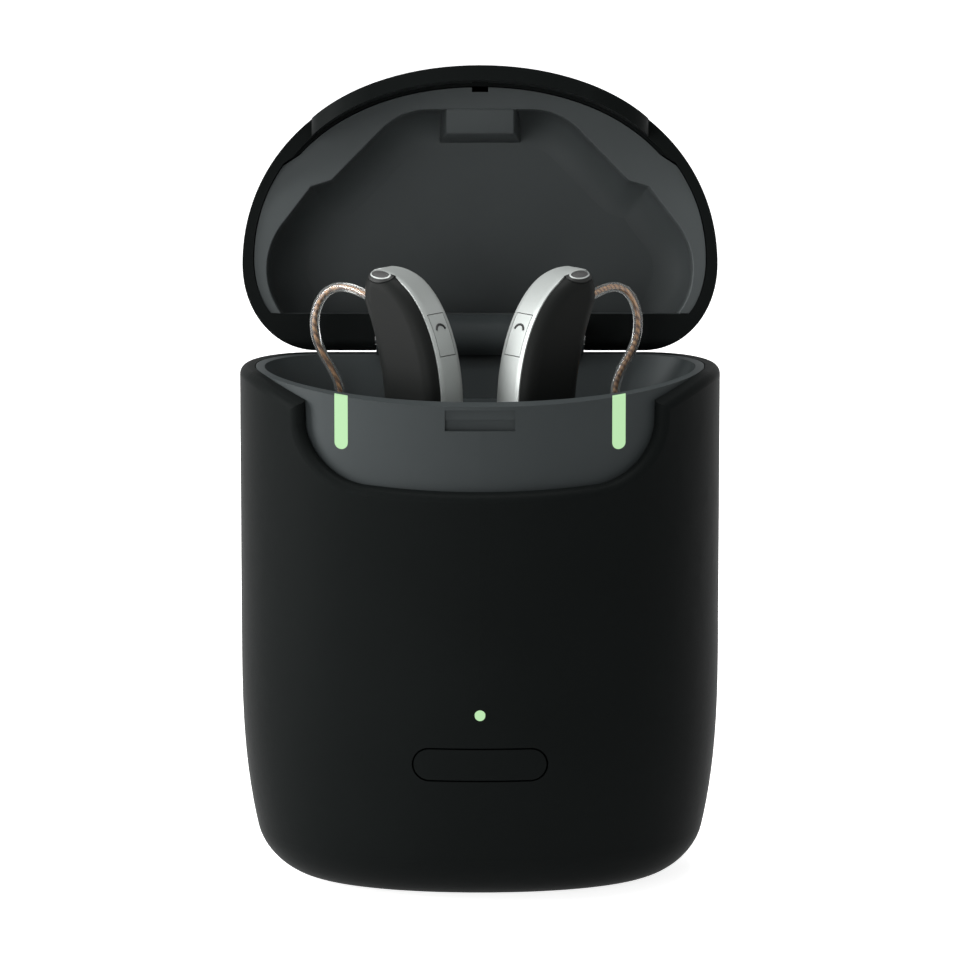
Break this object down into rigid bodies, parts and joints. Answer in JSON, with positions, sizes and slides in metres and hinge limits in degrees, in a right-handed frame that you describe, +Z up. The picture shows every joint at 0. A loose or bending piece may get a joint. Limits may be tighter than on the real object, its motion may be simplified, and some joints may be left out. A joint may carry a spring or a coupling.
{
  "type": "hearing aid charger",
  "caption": "Pocket charging case with an open hinged lid, a tray that holds a pair of behind-the-ear hearing aids, light bars, a status light and a flush button.",
  "frame": {"origin": "centre of the base, on the foot pad's face", "axes": "+Z up, -Y out of the front, +X to the right seen from the front"},
  "size_m": [0.07, 0.0618, 0.1186],
  "materials": {
    "black_shell": "matt",
    "grey_plastic": "satin",
    "rubber": "matt",
    "steel": "brushed",
    "light_guide": "frosted",
    "board": "coated",
    "chip": "glossy",
    "switch": "satin",
    "cell": "foil",
    "frame_plastic": "matt",
    "brass_contact": "gilt",
    "flex": "satin",
    "aid_dark": "satin",
    "aid_silver": "satin",
    "port_ring": "bright",
    "clear_wire": "clear",
    "soft_dome": "matt"
  },
  "bodies": {
    "case": {"outer_shell": "black_shell", "foot_pad": "rubber", "charging_tray": "grey_plastic", "hinge_knuckle": "grey_plastic", "hinge_pin": "steel", "status_light": "light_guide", "key_switch": "switch", "main_board": "board", "board_leds": "chip", "battery_cell": "cell", "inner_frame": "frame_plastic", "contact_board": "board", "charging_socket": "steel", "port_board": "board", "flex_cable": "flex", "base_screws": "steel", "tray_screws": "steel", "board_screws": "steel", "left_contact_pins": "brass_contact", "right_contact_pins": "brass_contact", "left_light_bar": "light_guide", "right_light_bar": "light_guide"},
    "lid": {"lid_shell": "black_shell", "lid_liner": "grey_plastic"},
    "pairing_key": {"pairing_button": "black_shell", "switch_plunger": "black_shell"},
    "left_aid": {"left_aid_housing": "aid_dark", "left_aid_spine_cover": "aid_silver", "left_microphone_port": "port_ring", "left_receiver_wire": "clear_wire", "left_receiver": "aid_dark", "left_ear_dome": "soft_dome"},
    "right_aid": {"right_aid_housing": "aid_dark", "right_aid_spine_cover": "aid_silver", "right_microphone_port": "port_ring", "right_receiver_wire": "clear_wire", "right_receiver": "aid_dark", "right_ear_dome": "soft_dome"},
    "left_aid_key": {"left_aid_push_button": "aid_silver"},
    "right_aid_key": {"right_aid_push_button": "aid_silver"}
  },
  "joints": [
    {"name": "lid_hinge", "type": "hinge", "parent": "case", "child": "lid", "pos_m": [0, 0.01905, 0.077], "axis": [-1, 0, 0], "range_deg": [-98, 0]},
    {"name": "pairing_button_press", "type": "slide", "parent": "case", "child": "pairing_key", "axis": [0, 1, 0], "range_m": [0, 0.0005], "stiffness_N_per_m": 5000},
    {"name": "left_aid_lift", "type": "slide", "parent": "case", "child": "left_aid", "axis": [0, 0, 1], "range_m": [0, 0.015]},
    {"name": "right_aid_lift", "type": "slide", "parent": "case", "child": "right_aid", "axis": [0, 0, 1], "range_m": [0, 0.015]},
    {"name": "left_aid_button_press", "type": "slide", "parent": "left_aid", "child": "left_aid_key", "axis": [-0.732, 0.5719, -0.3702], "range_m": [0, 0.0003], "stiffness_N_per_m": 3000},
    {"name": "right_aid_button_press", "type": "slide", "parent": "right_aid", "child": "right_aid_key", "axis": [0.732, 0.5719, -0.3702], "range_m": [0, 0.0003], "stiffness_N_per_m": 3000}
  ]
}
